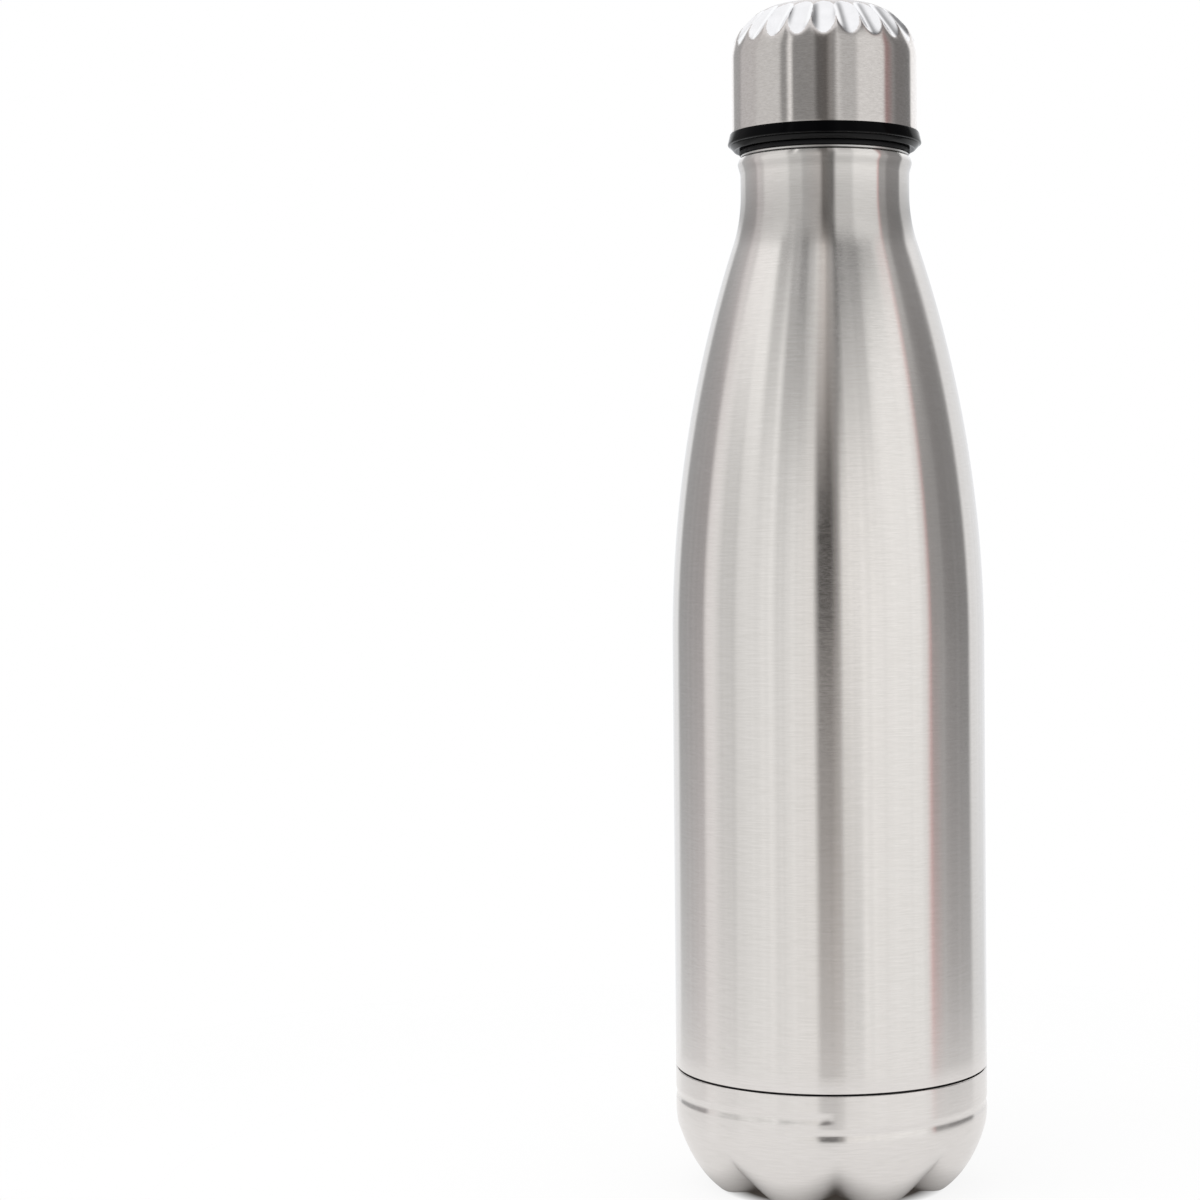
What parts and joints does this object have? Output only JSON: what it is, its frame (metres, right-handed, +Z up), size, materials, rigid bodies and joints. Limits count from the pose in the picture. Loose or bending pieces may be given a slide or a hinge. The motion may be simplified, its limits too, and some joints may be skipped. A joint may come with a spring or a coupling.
{
  "type": "vacuum flask diversion safe",
  "caption": "Steel vacuum flask with a screw cap, and a petal base that screws off to open a hidden compartment in the lower body.",
  "frame": {"origin": "on the ground, on the flask's axis, at the centre of the box of the whole flask", "axes": "+Z up along the flask's axis from the base to the cap, -Y towards the front that the picture shows, +X to the right"},
  "size_m": [0.07, 0.07, 0.265],
  "materials": {
    "brushed_body": "fine brushing round the axis, polished flutes and edges",
    "inner_steel": "plain drawn steel",
    "solder_glass": "fired glass solder",
    "clear_plastic": "clear moulded plastic, slightly cloudy",
    "silicone": "matte black silicone",
    "black_plastic": "glossy black moulding",
    "foam": "expanded foam"
  },
  "bodies": {
    "base": {"base_shell": "brushed_body"},
    "body_lift": {"compartment_seal": "silicone"},
    "body": {"outer_shell": "brushed_body", "inner_flask": "inner_steel", "vacuum_bottom": "inner_steel", "getter": "inner_steel", "vacuum_seal_bead": "solder_glass", "compartment_cup": "clear_plastic"},
    "cap_lift": {"cap_seal": "silicone"},
    "cap": {"plug": "black_plastic", "plug_foam": "foam", "cap_shell": "brushed_body"}
  },
  "joints": [
    {"name": "body_rise", "type": "slide", "parent": "base", "child": "body_lift", "axis": [0, 0, 1], "range_m": [0, 0.0082]},
    {"name": "body_unscrew", "type": "hinge", "parent": "body_lift", "child": "body", "pos_m": [0, 0, 0.0265], "axis": [0, 0, 1], "range_deg": [0, 821]},
    {"name": "cap_rise", "type": "slide", "parent": "body", "child": "cap_lift", "axis": [0, 0, 1], "range_m": [0, 0.006]},
    {"name": "cap_unscrew", "type": "hinge", "parent": "cap_lift", "child": "cap", "pos_m": [0, 0, 0.2307], "axis": [0, 0, 1], "range_deg": [0, 721]}
  ],
  "couplings": [
    {"joint": "body_unscrew", "follows": "body_rise", "rad_per_m": 1745.3},
    {"joint": "cap_unscrew", "follows": "cap_rise", "rad_per_m": 2094.4}
  ]
}
